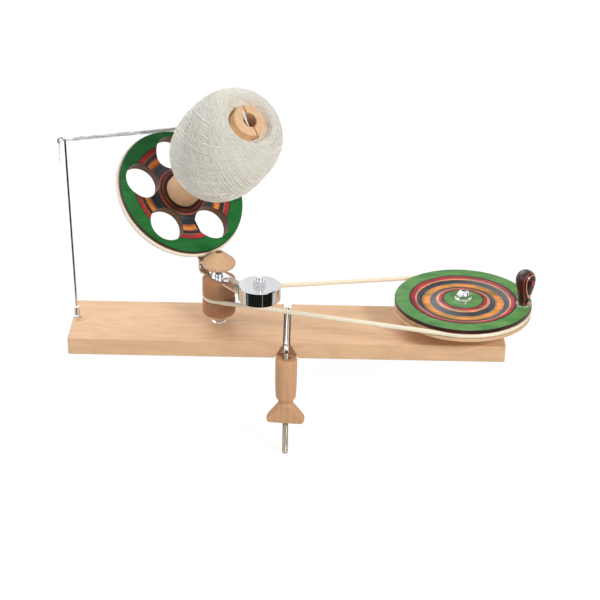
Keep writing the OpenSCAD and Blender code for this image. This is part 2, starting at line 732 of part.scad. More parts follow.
// Yarn ball: a plain core, and an outer winding whose tilted loops drift round the core
function barrel(l, r) = r * pow(1 - pow(abs(l - ball_at) / ball_half, ball_shape), 1 / ball_shape);
function core_at(l) = core_base_r + (core_tip_r - core_base_r) * l / (core_l - 2);
module yarn_ball() {
    low_l = ball_at - ball_half * 0.985;
    high_l = ball_at + ball_half * 0.94;
    steps = 28;
    skin = [for (i = [0:steps]) let(a = -90 + 180 * i / steps,
            l = (low_l + high_l) / 2 + (high_l - low_l) / 2 * sin(a))
        [max(barrel(l, winding_r) - winding_inset, core_at(l) + ball_gap + 2), l]];
    color(wool) on_head() rotate_extrude() polygon(concat(
        [[core_at(dimple_l) + ball_gap, dimple_l], [core_base_r + ball_gap, low_l]], skin));
}
winding_way = [for (i = [0:winding_loops * winding_rings])
    let(a = 360 / winding_rings * (i + 0.5), l = ball_at + winding_reach * sin(a),
        upward = cos(a) > 0, r = barrel(l, winding_r) - (upward ? strand_step : 0),
        turn = a * (1 + winding_drift))
    [r * cos(turn), r * sin(turn), l]];
winding_out = [for (p = winding_way) [p[0], p[1], 0]];
module yarn_winding() {
    last = len(winding_way) - 1;
    lead_in = winding_way[0] + strand_r * 2 * unit(winding_way[0] - winding_way[1]);
    run_out = winding_way[last] + strand_r * 2 * unit(winding_way[last] - winding_way[last - 1]);
    way = concat([lead_in], winding_way, [run_out]);
    out = concat([winding_out[0]], winding_out, [winding_out[last]]);
    color(wool) on_head() sweep_tube(way, strand_r, 6, out);
}
// Least gap between one loop and all the others, measured on points along the strands
function along_way(a, b, n) = [for (i = [a:b - 1]) for (j = [0:n - 1])
    winding_way[i] + (winding_way[i + 1] - winding_way[i]) * j / n];
union() {  // yarn_winding
    one_loop = along_way(winding_rings, 2 * winding_rings, 4);
    the_rest = along_way(2 * winding_rings + 2, len(winding_way) - 1, 4);
    echo("least gap in the winding, mm",
        min([for (p = one_loop) for (q = the_rest) norm(p - q)]) - 2 * strand_r);
}
module yarn_end() {
    color(wool) on_head() translate([-core_tip_r, 0, core_l - 3])
        rotate([0, 90, 0]) cylinder(r = yarn_r, h = core_tip_r * 2);
}

// Yarn to the guide
module yarn_lead() {
    way = [for (i = [0:lead_rings])
        lead_points[0] + (lead_points[1] - lead_points[0]) * i / lead_rings];
    color(wool) sweep_tube(way, yarn_r, 8, same([0, 0, 1], len(way)));
}
module yarn_tail() {
    color(wool) sweep_tube(tail_points, yarn_r, 8, same([0, 1, 0.3], len(tail_points)));
}

// Guide: a leaning wire with a pigtail eye, in a small ferrule
module on_guide() {
    translate([guide_x, guide_back, board_t]) rotate([0, -guide_lean, 0]) children();
}
module guide_wire() {
    color(steel) on_guide() {
        translate([0, 0, -guide_sink + 1]) cylinder(r = guide_wire_r, h = guide_h + guide_sink - 1);
        translate([-guide_eye_r, 0, guide_h]) rotate([90, 0, 0])
            rotate_extrude(angle = guide_gap_angle)
                translate([guide_eye_r, 0]) circle(r = guide_wire_r);
    }
}
module guide_ferrule() {
    color(chrome) translate([guide_x, guide_back, board_t]) difference() {
        rotate_extrude() polygon([
            [0, 0], [4, 0], [4, 1], [3.2, 1.6], [2.8, 2.2], [2.6, 10.4], [2.2, 11], [0, 11]]);
        rotate([0, -guide_lean, 0]) translate([0, 0, -1])
            cylinder(r = guide_wire_r + run_gap, h = 14);
    }
}

// Clamp: a rod hooked over the board, a jaw that slides on it and a wing nut
module clamp_rod() {
    color(chrome) {
        at_rod() translate([0, 0, -rod_reach])
            cylinder(r = rod_thread_r, h = rod_reach + rod_thread_z);
        at_rod() translate([0, 0, rod_thread_z - 0.5])
            cylinder(r = rod_r, h = rod_z - rod_bend - rod_thread_z + 0.5);
        at_rod() translate([0, rod_bend, rod_z - rod_bend]) rotate([0, 90, 0]) rotate([0, 0, 180])
            rotate_extrude(angle = 90) translate([rod_bend, 0]) circle(r = rod_r);
        translate([0, rod_y + rod_bend, rod_z]) rotate([-90, 0, 0])
            cylinder(r = rod_r, h = rod_back_y - rod_y - 2 * rod_bend);
        translate([0, rod_back_y - rod_bend, rod_z - rod_bend]) rotate([0, 90, 0]) rotate([0, 0, 90])
            rotate_extrude(angle = 90) translate([rod_bend, 0]) circle(r = rod_r);
        translate([0, rod_back_y, rod_z - rod_hook])
            cylinder(r = rod_r, h = rod_hook - rod_bend);
    }
}
module clamp_jaw() {
    color(beech) at_rod() translate([0, 0, jaw_z]) difference() {
        rotate_extrude() polygon([
            [0, 0], [jaw_r - 0.8, 0], [jaw_r, -0.8], [jaw_r, -jaw_l * 0.8],
            [wing_neck_r + 0.6, -jaw_l], [0, -jaw_l]]);
        translate([0, 0, -jaw_l - 1]) cylinder(r = rod_thread_r + 0.35, h = jaw_l + 2);
    }
}
module wing_nut() {
    tip = 3.2;
    half = wing_span / 2;
    outline = concat(
        [[0, 0], [wing_neck_r, 0], [wing_neck_r, -wing_h * 0.22]],
        curve([wing_neck_r, -wing_h * 0.28], [wing_neck_r + 0.5, -wing_h * 0.55],
            [half - 5, -wing_h + 2 * tip + 3], [half - tip, -wing_h + 2 * tip], 8),
        arc([half - tip, -wing_h + tip], tip, 80, -90, 10),
        curve([half - tip - 2, -wing_h], [half - 9, -wing_h], [5, -wing_h + 1.4],
            [0, -wing_h + 1.4], 6));
    color(beech) at_rod() translate([0, 0, wing_z]) difference() {
        union() {
            intersection() {
                translate([0, wing_t / 2, 0]) rotate([90, 0, 0]) linear_extrude(wing_t) union() {
                    polygon(outline);
                    mirror([1, 0]) polygon(outline);
                }
                translate([0, 0, -wing_h]) cylinder(r = half, h = wing_h);
            }
            translate([0, 0, -wing_h * 0.5]) cylinder(r = wing_neck_r, h = wing_h * 0.5);
        }
        translate([0, 0, -wing_h - 1]) cylinder(r = rod_thread_r + 0.35, h = wing_h + 2);
        translate([0, 0, -wing_insert_l]) cylinder(r = wing_insert_r, h = wing_insert_l + 1);
    }
}
module wing_insert() {
    color("goldenrod") at_rod() translate([0, 0, wing_z - wing_insert_l])
        tube(wing_insert_r, rod_thread_r + run_gap, wing_insert_l);
}

base_board();
clamp_rod();
spindle_bolt();
spindle_washer();
spindle_nut();
spindle_spacer();
spindle_sleeve();
cone_jam_nut();
friction_cone();
wheel_axle();
axle_washer();
axle_nut();
axle_spacer();
axle_sleeve();
axle_top_washer();
axle_cap_nut();
guide_wire();
guide_ferrule();
drive_belt();
yarn_lead();
yarn_tail();
wheel_face();
wheel_back();
wheel_bearing();
knob_stud();
knob_washer();
crank_knob();
pulley();
pulley_bearings();
arm_bracket();
arm_screws();
counterweight();
counterweight_bolt();
counterweight_nut();
head_axle();
head_axle_spacer();
head_axle_nut();
head_face();
head_back();
friction_ring();
head_bearing();
winding_core();
yarn_ball();
yarn_winding();
yarn_end();
clamp_jaw();
wing_nut();
wing_insert();
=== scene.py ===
# Yarn ball winder: camera, cords, wound wool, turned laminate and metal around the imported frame
import math
import random

import bpy
from mathutils import Matrix, Vector


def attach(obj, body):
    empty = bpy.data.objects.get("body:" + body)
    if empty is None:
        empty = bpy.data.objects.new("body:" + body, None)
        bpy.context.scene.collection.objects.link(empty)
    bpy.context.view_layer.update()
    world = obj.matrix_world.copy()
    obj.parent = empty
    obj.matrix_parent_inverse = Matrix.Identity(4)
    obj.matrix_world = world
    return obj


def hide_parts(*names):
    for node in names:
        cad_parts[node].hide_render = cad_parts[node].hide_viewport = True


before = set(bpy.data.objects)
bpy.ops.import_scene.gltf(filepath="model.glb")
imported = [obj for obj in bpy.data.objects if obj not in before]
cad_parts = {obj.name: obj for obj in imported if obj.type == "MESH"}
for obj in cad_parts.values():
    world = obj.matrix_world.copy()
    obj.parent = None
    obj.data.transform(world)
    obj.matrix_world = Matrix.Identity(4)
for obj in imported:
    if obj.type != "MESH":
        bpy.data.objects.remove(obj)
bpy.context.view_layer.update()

MM = 0.001
scene = bpy.context.scene

# Sizes shared with the frame, in millimetres
SPINDLE = Vector((-66.7, 0, 0))
WHEEL = Vector((170.2, 0, 46.9))
ARM_ANGLE = math.radians(-49.5)
HEAD_TILT = math.radians(45)
FACE_RHO, FACE_Z = -57.1327, 136.284
CORE_L, CORE_BASE_R, CORE_TIP_R = 148, 16.5, 15.6
BALL_AT, BALL_R, BALL_HALF, BALL_SHAPE = 96.8, 46.5, 56.8, 2.7
HEAD_RATIO = 0.22009
KNOB = WHEEL + Matrix.Rotation(math.radians(-8), 3, "Z") @ Vector((58.4, 0, 0))
ROD_Y = -44
FLOOR_Z = -104.4


def turned(p):
    """A point beside the spindle, at the arm's angle."""
    return SPINDLE + Matrix.Rotation(ARM_ANGLE, 3, "Z") @ Vector(p)


HEAD_X = Matrix.Rotation(ARM_ANGLE, 3, "Z") @ Vector((math.cos(HEAD_TILT), 0, -math.sin(HEAD_TILT)))
HEAD_N = Matrix.Rotation(ARM_ANGLE, 3, "Z") @ Vector((math.sin(HEAD_TILT), 0, math.cos(HEAD_TILT)))
HEAD_Y = HEAD_N.cross(HEAD_X)
HEAD_C = turned((FACE_RHO, 0, FACE_Z))


def on_head(x, y, l):
    return HEAD_C + HEAD_X * x + HEAD_Y * y + HEAD_N * l


# Camera at the photograph's angle
def look(obj, position, target, roll):
    forward = (target - position).normalized()
    flat = forward.cross(Vector((0, 0, 1))).normalized()
    high = flat.cross(forward)
    right = flat * math.cos(roll) + high * math.sin(roll)
    up = high * math.cos(roll) - flat * math.sin(roll)
    turn = Matrix((right, up, -forward)).transposed()
    obj.matrix_world = Matrix.Translation(position) @ turn.to_4x4()


camera_data = bpy.data.cameras.new("camera")
SENSOR_MM, PHOTO_W_PX, FOCAL_PX = 36, 600, 1673.8
camera_data.sensor_width = SENSOR_MM
camera_data.lens = SENSOR_MM * FOCAL_PX / PHOTO_W_PX
camera_data.clip_end = 30
camera = bpy.data.objects.new("camera", camera_data)
scene.collection.objects.link(camera)
CAMERA_AT = Vector((12.04, -1451.85, 773.82)) * MM
CAMERA_DOWN, CAMERA_ROLL = math.radians(26.74), math.radians(1.09)
AHEAD = Vector((0, math.cos(CAMERA_DOWN), -math.sin(CAMERA_DOWN)))
look(camera, CAMERA_AT, CAMERA_AT + AHEAD, CAMERA_ROLL)
scene.camera = camera


# Mesh helpers, given millimetres
def piece(name, points, faces, uvs=None):
    mesh = bpy.data.meshes.new(name)
    mesh.from_pydata([tuple(Vector(p) * MM) for p in points], [], faces)
    mesh.polygons.foreach_set("use_smooth", [True] * len(mesh.polygons))
    if uvs:
        layer = mesh.uv_layers.new(name="along")
        for loop in mesh.loops:
            layer.data[loop.index].uv = uvs[loop.vertex_index]
    mesh.update()
    obj = bpy.data.objects.new(name, mesh)
    scene.collection.objects.link(obj)
    return obj


def frames_along(path, closed=False):
    """A heading and two sideways directions at each point, carried along without twist."""
    n = len(path)
    out = []
    side = None
    for i in range(n):
        a = path[(i - 1) % n] if closed or i > 0 else path[0]
        b = path[(i + 1) % n] if closed or i < n - 1 else path[-1]
        t = (b - a).normalized()
        if side is None:
            side = t.orthogonal().normalized()
        side = (side - t * side.dot(t)).normalized()
        out.append((t, side, t.cross(side)))
    return out


def tube_data(path, radius, sides, closed=False, base=0):
    """Points, faces and uvs of a round tube, with u in millimetres along it and v once round it."""
    points, faces, uvs = [], [], []
    n = len(path)
    run = 0.0
    for i, (t, u, v) in enumerate(frames_along(path, closed)):
        if i:
            run += (path[i] - path[i - 1]).length
        for k in range(sides):
            a = 2 * math.pi * k / sides
            points.append(path[i] + u * (radius * math.cos(a)) + v * (radius * math.sin(a)))
            uvs.append((run, k / sides))
    for i in range(n if closed else n - 1):
        j = (i + 1) % n
        for k in range(sides):
            m = (k + 1) % sides
            faces.append((base + i * sides + k, base + i * sides + m,
                          base + j * sides + m, base + j * sides + k))
    if not closed:
        faces.append(tuple(base + k for k in reversed(range(sides))))
        faces.append(tuple(base + (n - 1) * sides + k for k in range(sides)))
    return points, faces, uvs


def tube(name, path, radius, sides=12, closed=False):
    points, faces, uvs = tube_data([Vector(p) for p in path], radius, sides, closed)
    return piece(name, points, faces, uvs)


def tubes(name, paths, radius, sides):
    """Many tubes in one piece."""
    points, faces, uvs = [], [], []
    for path in paths:
        p, f, u = tube_data(path, radius, sides, base=len(points))
        points += p
        faces += f
        uvs += u
    return piece(name, points, faces, uvs)


def lathe(name, profile, place, steps=96):
    """A closed profile of radius and height turned about an axis, which place(x, y, l) sets."""
    points = []
    for i in range(steps):
        a = 2 * math.pi * i / steps
        points += [place(r * math.cos(a), r * math.sin(a), l) for r, l in profile]
    n = len(profile)
    faces = []
    for i in range(steps):
        j = (i + 1) % steps
        for k in range(n):
            m = (k + 1) % n
            faces.append((i * n + k, j * n + k, j * n + m, i * n + m))
    return piece(name, points, faces)


def thread(name, place, z0, z1, major, minor, pitch, around=20, rows=6):
    """A rod's threaded length, with flat ends. The ridge rises by one pitch each turn."""
    ridge_half, run_out = 0.42, 0.8
    points, faces = [], []
    count = int((z1 - z0) / pitch * rows)
    for i in range(count + 1):
        z = z0 + (z1 - z0) * i / count
        edge = min(1.0, (z - z0) / run_out, (z1 - z) / run_out)
        for k in range(around):
            a = 2 * math.pi * k / around
            phase = (z / pitch - k / around) % 1.0
            ridge = max(0.0, 1.0 - abs(phase - 0.5) / ridge_half)
            r = minor + (major - minor) * ridge * max(0.0, edge)
            points.append(place(r * math.cos(a), r * math.sin(a), z))
    for i in range(count):
        for k in range(around):
            m = (k + 1) % around
            faces.append((i * around + k, i * around + m, (i + 1) * around + m, (i + 1) * around + k))
    faces.append(tuple(reversed(range(around))))
    faces.append(tuple(count * around + k for k in range(around)))
    return piece(name, points, faces)


def smooth_way(points, per_step):
    """A Catmull-Rom curve through the points."""
    pts = [Vector(p) for p in points]
    pts = [pts[0] * 2 - pts[1]] + pts + [pts[-1] * 2 - pts[-2]]
    out = []
    for i in range(1, len(pts) - 2):
        a, b, c, d = pts[i - 1:i + 3]
        for j in range(per_step):
            t = j / per_step
            out.append(0.5 * (2 * b + (c - a) * t + (2 * a - 5 * b + 4 * c - d) * t * t
                              + (3 * b - a - 3 * c + d) * t ** 3))
    return out + [pts[-2]]


def length_of(path):
    return sum((b - a).length for a, b in zip(path, path[1:]))


# Cords first: the strand from the ball to the guide, and the end that hangs from its eye
YARN_R = 0.6
LEAD = [(-76, 44, 204), (-206, 9, 201)]
TAIL = [
    (-206, 9, 201), (-208.6, 8.3, 200.94), (-210.2, 8.1, 201), (-212.2, 7, 201),
    (-213.3, 5.4, 200.7), (-214, 4, 199.9), (-214.5, 3.6, 198), (-214.8, 3.4, 195),
    (-215, 3.2, 191), (-215, 3, 187), (-215, 3, 183), (-215, 3, 180)]
lead_way = [Vector(LEAD[0]).lerp(Vector(LEAD[1]), i / 60) for i in range(61)]
tail_way = smooth_way(TAIL, 3)
rng = random.Random(11)


def fluff(name, path, count, reach, stand_off, hair_r=0.05, crowd=1.7):
    """Loose wool fibres that leave the strand, arch out and lie back along it."""
    hairs = []
    around = frames_along(path)
    last = len(path) - 1
    for _ in range(count):
        i = int(last * rng.random() ** crowd)
        t, u, v = around[i]
        a = rng.uniform(0, 2 * math.pi)
        out = u * math.cos(a) + v * math.sin(a)
        side = t.cross(out)
        length = rng.uniform(0.4, 1.0) * reach * rng.choice((-1, 1))
        if not 0 < i + length / ((path[-1] - path[0]).length / last) < last:
            length = -length
        lift, sway = rng.uniform(0.3, 1.0) * stand_off, rng.uniform(-0.5, 0.5) * stand_off
        hair = []
        for k in range(6):
            s = k / 5
            hair.append(path[i] + out * (YARN_R * 0.8 + lift * math.sin(math.pi * s * 0.8))
                        + t * (length * s) + side * (sway * s * s))
        hairs.append(hair)
    return tubes(name, hairs, hair_r, 3)


yarn_strand = tube("lead_strand", lead_way, YARN_R, 10)
lead_fluff = fluff("lead_fluff", lead_way, 1500, 9, 1.7, 0.075, 2.6)
tail_strand = tube("tail_strand", tail_way, YARN_R, 10)
tail_fluff = fluff("tail_fluff", tail_way, 50, 4, 0.7)
for obj in (yarn_strand, lead_fluff, tail_strand, tail_fluff):
    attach(obj, "base")
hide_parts("yarn_lead")
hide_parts("yarn_tail")
print("cords, mm:", length_of(lead_way), length_of(tail_way))


# Materials
def srgb(r, g, b):
    def part(c):
        c /= 255
        return c / 12.92 if c <= 0.04045 else ((c + 0.055) / 1.055) ** 2.4
    return (part(r), part(g), part(b), 1.0)


class Shader:
    """One material and short ways to add its nodes."""

    def __init__(self, name, rough, metallic=0.0, coat=0.0, coat_rough=0.1, gloss=0.5):
        self.mat = bpy.data.materials.new(name)
        self.mat.use_nodes = True
        self.tree = self.mat.node_tree
        self.bsdf = self.tree.nodes["Principled BSDF"]
        self.bsdf.inputs["Roughness"].default_value = rough
        self.bsdf.inputs["Metallic"].default_value = metallic
        self.bsdf.inputs["Specular IOR Level"].default_value = gloss
        self.bsdf.inputs["Coat Weight"].default_value = coat
        self.bsdf.inputs["Coat Roughness"].default_value = coat_rough
        self.at = self.tree.nodes.new("ShaderNodeTexCoord").outputs["Object"]

    def put(self, socket, value):
        if isinstance(value, bpy.types.NodeSocket):
            self.tree.links.new(value, socket)
        else:
            socket.default_value = value

    def math(self, op, a, b=0.0, c=0.0):
        node = self.tree.nodes.new("ShaderNodeMath")
        node.operation = op
        for socket, value in zip(node.inputs, (a, b, c)):
            self.put(socket, value)
        return node.outputs[0]

    def vec(self, op, a, b=(0, 0, 0), scale=1.0):
        node = self.tree.nodes.new("ShaderNodeVectorMath")
        node.operation = op
        self.put(node.inputs[0], a)
        self.put(node.inputs[1], b)
        if op == "SCALE":
            self.put(node.inputs["Scale"], scale)
        return node.outputs["Value" if op in ("DOT_PRODUCT", "LENGTH") else "Vector"]

    def join(self, x, y, z):
        node = self.tree.nodes.new("ShaderNodeCombineXYZ")
        for socket, value in zip(node.inputs, (x, y, z)):
            self.put(socket, value)
        return node.outputs[0]

    def noise(self, where, scale, detail=3.0, rough=0.5):
        node = self.tree.nodes.new("ShaderNodeTexNoise")
        self.put(node.inputs["Vector"], where)
        node.inputs["Scale"].default_value = scale
        node.inputs["Detail"].default_value = detail
        node.inputs["Roughness"].default_value = rough
        return node.outputs["Fac"]

    def ramp(self, fac, stops, kind="LINEAR"):
        node = self.tree.nodes.new("ShaderNodeValToRGB")
        band = node.color_ramp
        band.interpolation = kind
        while len(band.elements) < len(stops):
            band.elements.new(1.0)
        for element, (place, colour) in zip(band.elements, stops):
            element.position = place
            element.color = colour if len(colour) == 4 else (*colour, 1.0)
        self.put(node.inputs[0], fac)
        return node.outputs["Color"]

    def mix(self, fac, a, b, kind="MIX"):
        node = self.tree.nodes.new("ShaderNodeMix")
        node.data_type = "RGBA"
        node.blend_type = kind
        self.put(node.inputs[0], fac)
        self.put(node.inputs[6], a)
        self.put(node.inputs[7], b)
        return node.outputs[2]

    def shade(self, value, low, high):
        """A grey for multiplying, from low where value is 0 to high where it is 1."""
        return self.ramp(value, [(0.0, (low,) * 3), (1.0, (high,) * 3)])

    def spread(self, value, low, high):
        """value stretched so that low becomes 0 and high 1."""
        node = self.tree.nodes.new("ShaderNodeMapRange")
        self.put(node.inputs["Value"], value)
        node.inputs["From Min"].default_value = low
        node.inputs["From Max"].default_value = high
        return node.outputs["Result"]

    def bump(self, height, depth_mm):
        node = self.tree.nodes.new("ShaderNodeBump")
        node.inputs["Strength"].default_value = 1.0
        node.inputs["Distance"].default_value = depth_mm * MM
        self.put(node.inputs["Height"], height)
        return node.outputs["Normal"]

    def done(self, colour=None, rough=None, normal=None):
        for name, value in (("Base Color", colour), ("Roughness", rough), ("Normal", normal)):
            if value is not None:
                self.put(self.bsdf.inputs[name], value)
        return self.mat

    def facing(self, axis):
        """How far the surface faces along an axis of the piece."""
        normal = self.tree.nodes.new("ShaderNodeNewGeometry").outputs["Normal"]
        spun = self.tree.nodes.new("ShaderNodeVectorTransform")
        spun.vector_type = "NORMAL"
        spun.convert_from = "WORLD"
        spun.convert_to = "OBJECT"
        self.put(spun.inputs[0], normal)
        return self.vec("DOT_PRODUCT", spun.outputs[0], tuple(axis))

    def axes(self, centre, x, y, z):
        """The place in millimetres, measured from centre along three directions."""
        off = self.vec("SCALE", self.vec("SUBTRACT", self.at, tuple(Vector(centre) * MM)), scale=1000.0)
        return [self.vec("DOT_PRODUCT", off, tuple(d)) for d in (x, y, z)]


X, Y, Z = Vector((1, 0, 0)), Vector((0, 1, 0)), Vector((0, 0, 1))


def wood(name, centre, along, tint, rough=0.5, contrast=1.0, band=9.0, walls=None):
    """Beech: soft bands, fine fibres and short dark rays, all running along one direction. walls is
    (axis, limit, wall_layers_and_shade): what faces across the axis, within the limit of the centre, is
    darker, partly for the laminated layers and partly as painted shade."""
    s = Shader(name, rough, gloss=0.35)
    across = along.orthogonal().normalized()
    third = along.cross(across)
    g, a, b = s.axes(centre, along, across, third)
    wander = s.noise(s.join(s.math("DIVIDE", g, 70.0), s.math("DIVIDE", a, 30.0),
                            s.math("DIVIDE", b, 30.0)), 1.0, 2.0)
    rings = s.math("SINE", s.math("MULTIPLY", s.math("ADD", s.math("DIVIDE", a, band),
                                                     s.math("MULTIPLY", wander, 5.0)), 6.2832))
    ring = s.spread(rings, -1.0, 1.0)
    tone = s.noise(s.join(s.math("DIVIDE", g, 60.0), s.math("DIVIDE", a, 7.0),
                          s.math("DIVIDE", b, 7.0)), 1.0, 3.0)
    fibre = s.noise(s.join(s.math("DIVIDE", g, 9.0), s.math("DIVIDE", a, 0.45),
                           s.math("DIVIDE", b, 0.45)), 1.0, 2.0)
    ray = s.noise(s.join(s.math("DIVIDE", g, 1.9), s.math("DIVIDE", a, 0.32),
                         s.math("DIVIDE", b, 0.32)), 1.0, 1.0)
    rays = s.spread(ray, 0.66, 0.72)
    colour = s.mix(1.0, srgb(*tint), s.shade(ring, 1 - 0.05 * contrast, 1 + 0.03 * contrast), "MULTIPLY")
    colour = s.mix(1.0, colour, s.shade(tone, 1 - 0.16 * contrast, 1 + 0.12 * contrast), "MULTIPLY")
    colour = s.mix(1.0, colour, s.shade(fibre, 1 - 0.10 * contrast, 1 + 0.07 * contrast), "MULTIPLY")
    dark = s.mix(1.0, colour, srgb(214, 176, 146), "MULTIPLY")
    colour = s.mix(s.math("MULTIPLY", rays, 0.8 * contrast), colour, dark)
    # The darker walls are partly the laminate's layers and partly painted shade inside the head's windows
    if walls:
        axis, limit, wall_layers_and_shade = walls
        side = s.math("LESS_THAN", s.math("ABSOLUTE", s.facing(axis)), 0.5)
        off = s.vec("SCALE", s.vec("SUBTRACT", s.at, tuple(Vector(centre) * MM)), scale=1000.0)
        near = s.math("LESS_THAN", s.vec("LENGTH", off), limit)
        colour = s.mix(s.math("MULTIPLY", side, near), colour,
                       s.mix(1.0, colour, srgb(*wall_layers_and_shade), "MULTIPLY"))
    height = s.math("SUBTRACT", s.math("MULTIPLY", fibre, 0.6), s.math("MULTIPLY", rays, 0.5))
    return s.done(colour, s.math("ADD", rough - 0.05, s.math("MULTIPLY", fibre, 0.12)),
                  s.bump(height, 0.05))


# Dyed veneers: colour stops by radius on the turned face, and by depth on cut edges. The cut edges' stops and
# the head's rings are also darker than the dyes: painted shade
GREEN = srgb(88, 148, 74)
GREEN_DEEP = srgb(30, 112, 48)
BLACK = srgb(26, 20, 20)
RED = srgb(160, 34, 44)
ORANGE = srgb(206, 140, 98)
SLATE = srgb(26, 48, 54)
TAN = srgb(184, 126, 88)
OCHRE = srgb(226, 156, 56)
BROWN = srgb(80, 32, 22)
RUST = srgb(150, 78, 56)
# Darker copies of tan, ochre and red: painted shade for the head, which lies in the ball's shadow
TAN_PAINTED_SHADE = srgb(158, 92, 62)
OCHRE_PAINTED_SHADE = srgb(206, 138, 52)
RED_PAINTED_SHADE = srgb(158, 40, 44)
RINGS = [
    (0.0, GREEN), (18.6, BLACK), (20.0, RED), (22.8, BROWN), (23.2, ORANGE), (26.0, BLACK),
    (27.0, SLATE), (30.4, BLACK), (31.5, TAN), (33.4, OCHRE), (37.4, TAN), (39.4, BLACK),
    (40.4, SLATE), (43.2, BLACK), (44.6, ORANGE), (46.4, BROWN), (46.8, RED), (50.6, BLACK),
    (52.0, GREEN)]
# The head's own ring order with painted shade: the tan, ochre and red rings take darker copies, and the rings
# round the core are dark where the ball's shadow falls
HEAD_RINGS = [
    (0.0, BLACK), (18.2, BROWN), (20.0, RUST), (20.7, BLACK), (21.6, BROWN), (23.4, RUST),
    (24.8, BROWN), (25.5, BLACK), (26.8, SLATE), (29.4, BLACK), (31.2, SLATE), (33.2, BLACK),
    (34.0, TAN_PAINTED_SHADE), (36.2, OCHRE_PAINTED_SHADE), (40.0, TAN_PAINTED_SHADE), (41.1, BLACK), (44.7, TAN_PAINTED_SHADE),
    (46.1, BROWN), (46.5, RED_PAINTED_SHADE), (49.7, TAN_PAINTED_SHADE), (50.2, BLACK), (51.2, GREEN_DEEP)]
# Cut edges: the veneer stack's real layer order, given darker colours than the face's, as painted shade on
# the rim's unlit side
LAYERS = [
    (0.0, BLACK), (0.8, BROWN), (1.3, BLACK), (1.7, BROWN), (2.3, BLACK), (2.7, srgb(104, 36, 26)),
    (3.2, BLACK)]
RING_SPAN, LAYER_SPAN = 80.0, 4.0


def laminate(name, centre, x, y, axis, rings, grain_turn=0.0):
    """A turned face through a stack of dyed veneers, lacquered."""
    s = Shader(name, 0.34, coat=0.2, coat_rough=0.16, gloss=0.3)
    p, q, h = s.axes(centre, x, y, axis)
    cos_g, sin_g = math.cos(grain_turn), math.sin(grain_turn)
    g = s.math("ADD", s.math("MULTIPLY", p, cos_g), s.math("MULTIPLY", q, sin_g))
    a = s.math("SUBTRACT", s.math("MULTIPLY", q, cos_g), s.math("MULTIPLY", p, sin_g))
    radius = s.math("SQRT", s.math("ADD", s.math("MULTIPLY", p, p), s.math("MULTIPLY", q, q)))
    ripple = s.noise(s.join(s.math("DIVIDE", g, 9.0), s.math("DIVIDE", a, 2.6), 0.0), 1.0, 3.0)
    wavy = s.math("ADD", radius, s.math("MULTIPLY", s.math("SUBTRACT", ripple, 0.5), 0.9))
    face = s.ramp(s.math("DIVIDE", wavy, RING_SPAN), [(r / RING_SPAN, dye) for r, dye in rings],
                  "CONSTANT")
    # The edge stops are painted shade: darker copies of the veneers for the rim's side
    depth = s.math("MULTIPLY", h, -1.0)
    edge = s.ramp(s.math("DIVIDE", depth, LAYER_SPAN), [(d / LAYER_SPAN, dye) for d, dye in LAYERS],
                  "CONSTANT")
    colour = s.mix(s.math("GREATER_THAN", s.facing(axis), 0.9), edge, face)
    streak = s.noise(s.join(s.math("DIVIDE", g, 14.0), s.math("DIVIDE", a, 0.8), s.math("DIVIDE", h, 2.0)),
                     1.0, 4.0, 0.6)
    blotch = s.noise(s.join(s.math("DIVIDE", g, 30.0), s.math("DIVIDE", a, 12.0), 0.0), 1.0, 3.0)
    pores = s.noise(s.join(s.math("DIVIDE", g, 3.0), s.math("DIVIDE", a, 0.35), s.math("DIVIDE", h, 0.6)),
                    1.0, 2.0)
    dull, bright = (0.5, 0.74, 0.68), (1.7, 1.26, 1.45)
    colour = s.mix(1.0, colour, s.shade(s.spread(streak, 0.3, 0.7), 0.64, 1.3), "MULTIPLY")
    patches = s.ramp(s.spread(blotch, 0.32, 0.68), [(0.0, dull), (1.0, bright)])
    colour = s.mix(1.0, colour, patches, "MULTIPLY")
    colour = s.mix(s.math("MULTIPLY", s.spread(pores, 0.62, 0.7), 0.55), colour,
                   s.mix(1.0, colour, srgb(120, 120, 120), "MULTIPLY"))
    return s.done(colour, None, s.bump(s.math("ADD", streak, pores), 0.05))


def knob_laminate(name):
    """Dark veneers that stand upright: rings show where the turned belly cuts them."""
    s = Shader(name, 0.3, coat=0.3, coat_rough=0.08, gloss=0.35)
    turn, tip = math.radians(-48), math.radians(2.5)
    facing = Vector((math.cos(turn) * math.cos(tip), math.sin(turn) * math.cos(tip), -math.sin(tip)))
    belly_z = 24
    belly = KNOB + Z * belly_z
    side_way = Z.cross(facing).normalized()
    d, side, h = s.axes(belly, facing, side_way, facing.cross(side_way))
    ripple = s.noise(s.join(s.math("DIVIDE", d, 3.0), s.math("DIVIDE", side, 3.0), s.math("DIVIDE", h, 12.0)),
                     1.0, 2.0)
    wavy = s.math("ADD", d, s.math("MULTIPLY", s.math("SUBTRACT", ripple, 0.5), 0.5))
    pink = srgb(206, 132, 100)
    stops = [
        (-10.0, BLACK), (-8.4, BROWN), (-7.6, BLACK), (-6.4, RUST), (-6.0, BLACK), (-4.6, BROWN),
        (-3.8, BLACK), (-2.4, BROWN), (-1.8, BLACK), (-0.6, BROWN), (0.2, BLACK), (1.0, BROWN),
        (1.6, BLACK), (2.3, BROWN), (2.8, BLACK), (3.7, BROWN), (4.3, srgb(128, 54, 40)), (5.5, BLACK),
        (6.5, pink), (7.25, BLACK), (8.3, BROWN), (8.6, BLACK), (9.15, RED)]
    colour = s.ramp(s.spread(wavy, -10.0, 10.0), [((v + 10) / 20, dye) for v, dye in stops], "CONSTANT")
    streak = s.noise(s.join(s.math("DIVIDE", d, 0.5), s.math("DIVIDE", side, 0.7), s.math("DIVIDE", h, 9.0)),
                     1.0, 3.0)
    colour = s.mix(1.0, colour, s.shade(s.spread(streak, 0.3, 0.7), 0.65, 1.35), "MULTIPLY")
    return s.done(colour, None, s.bump(streak, 0.04))


